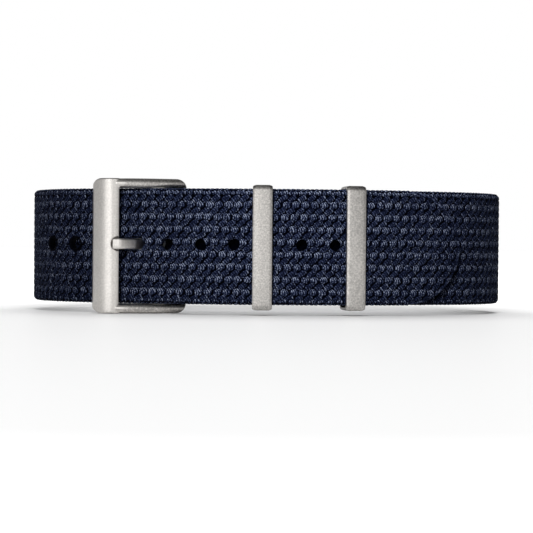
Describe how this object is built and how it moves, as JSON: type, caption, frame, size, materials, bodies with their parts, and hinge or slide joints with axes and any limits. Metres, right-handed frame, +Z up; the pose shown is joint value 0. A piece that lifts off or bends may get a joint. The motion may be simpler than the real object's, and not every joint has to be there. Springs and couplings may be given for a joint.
{
  "type": "fitness tracker band",
  "caption": "One-piece woven nylon pass-through wrist band with a satin steel pin buckle, flat metal keepers, punched holes and a rounded tail.",
  "frame": {"origin": "on the surface the band stands on, under the middle of its box", "axes": "+X along the buckled front from buckle towards tail tip, +Y from the buckled front to the head seat, +Z up across the strap's width"},
  "size_m": [0.0858, 0.0458, 0.0234],
  "materials": {
    "webbing": "matt woven nylon, navy",
    "stitching": "bonded nylon thread, dark navy",
    "satin_steel": "fine bead-blasted satin stainless steel",
    "spring_bar_steel": "turned stainless steel"
  },
  "bodies": {
    "band": {"strap_webbing": "webbing", "flap_webbing": "webbing", "bar_tack_1": "stitching", "bar_tack_2": "stitching", "bar_tack_3": "stitching", "bar_tack_4": "stitching", "bar_tack_5": "stitching", "bar_tack_6": "stitching"},
    "tail_end": {"strap_tail_end": "webbing"},
    "buckle": {"buckle_frame": "satin_steel", "bar_barrel": "spring_bar_steel", "bar_spring": "spring_bar_steel"},
    "tongue": {"buckle_tongue": "satin_steel"},
    "pivot_lower": {"bar_pivot_lower": "spring_bar_steel"},
    "pivot_upper": {"bar_pivot_upper": "spring_bar_steel"},
    "keeper_near_buckle": {"keeper_1": "satin_steel"},
    "keeper_near_tip": {"keeper_2": "satin_steel"},
    "keeper_of_flap": {"keeper_3": "satin_steel"}
  },
  "joints": [
    {"name": "tail_end_lift", "type": "hinge", "parent": "band", "child": "tail_end", "pos_m": [0.01822, -0.01942, 0.0117], "axis": [0, 0, -1], "range_deg": [0, 40]},
    {"name": "buckle_rock", "type": "hinge", "parent": "band", "child": "buckle", "pos_m": [-0.01547, -0.01621, 0.0117], "axis": [0, 0, 1], "range_deg": [0, 4]},
    {"name": "tongue_lift", "type": "hinge", "parent": "buckle", "child": "tongue", "pos_m": [-0.01547, -0.01621, 0.0117], "axis": [0, 0, 1], "range_deg": [0, 4]},
    {"name": "pivot_lower_press", "type": "slide", "parent": "buckle", "child": "pivot_lower", "axis": [0, 0, 1], "range_m": [0, 0.0007]},
    {"name": "pivot_upper_press", "type": "slide", "parent": "buckle", "child": "pivot_upper", "axis": [0, 0, -1], "range_m": [0, 0.0007]},
    {"name": "keeper_near_buckle_slide", "type": "slide", "parent": "band", "child": "keeper_near_buckle", "axis": [1, -0.0096, 0], "range_m": [-0.001, 0.001]},
    {"name": "keeper_near_tip_slide", "type": "slide", "parent": "band", "child": "keeper_near_tip", "axis": [0.9798, 0.2, 0], "range_m": [-0.001, 0.001]},
    {"name": "keeper_of_flap_slide", "type": "slide", "parent": "band", "child": "keeper_of_flap", "axis": [1, 0, 0], "range_m": [-0.001, 0.001]}
  ]
}
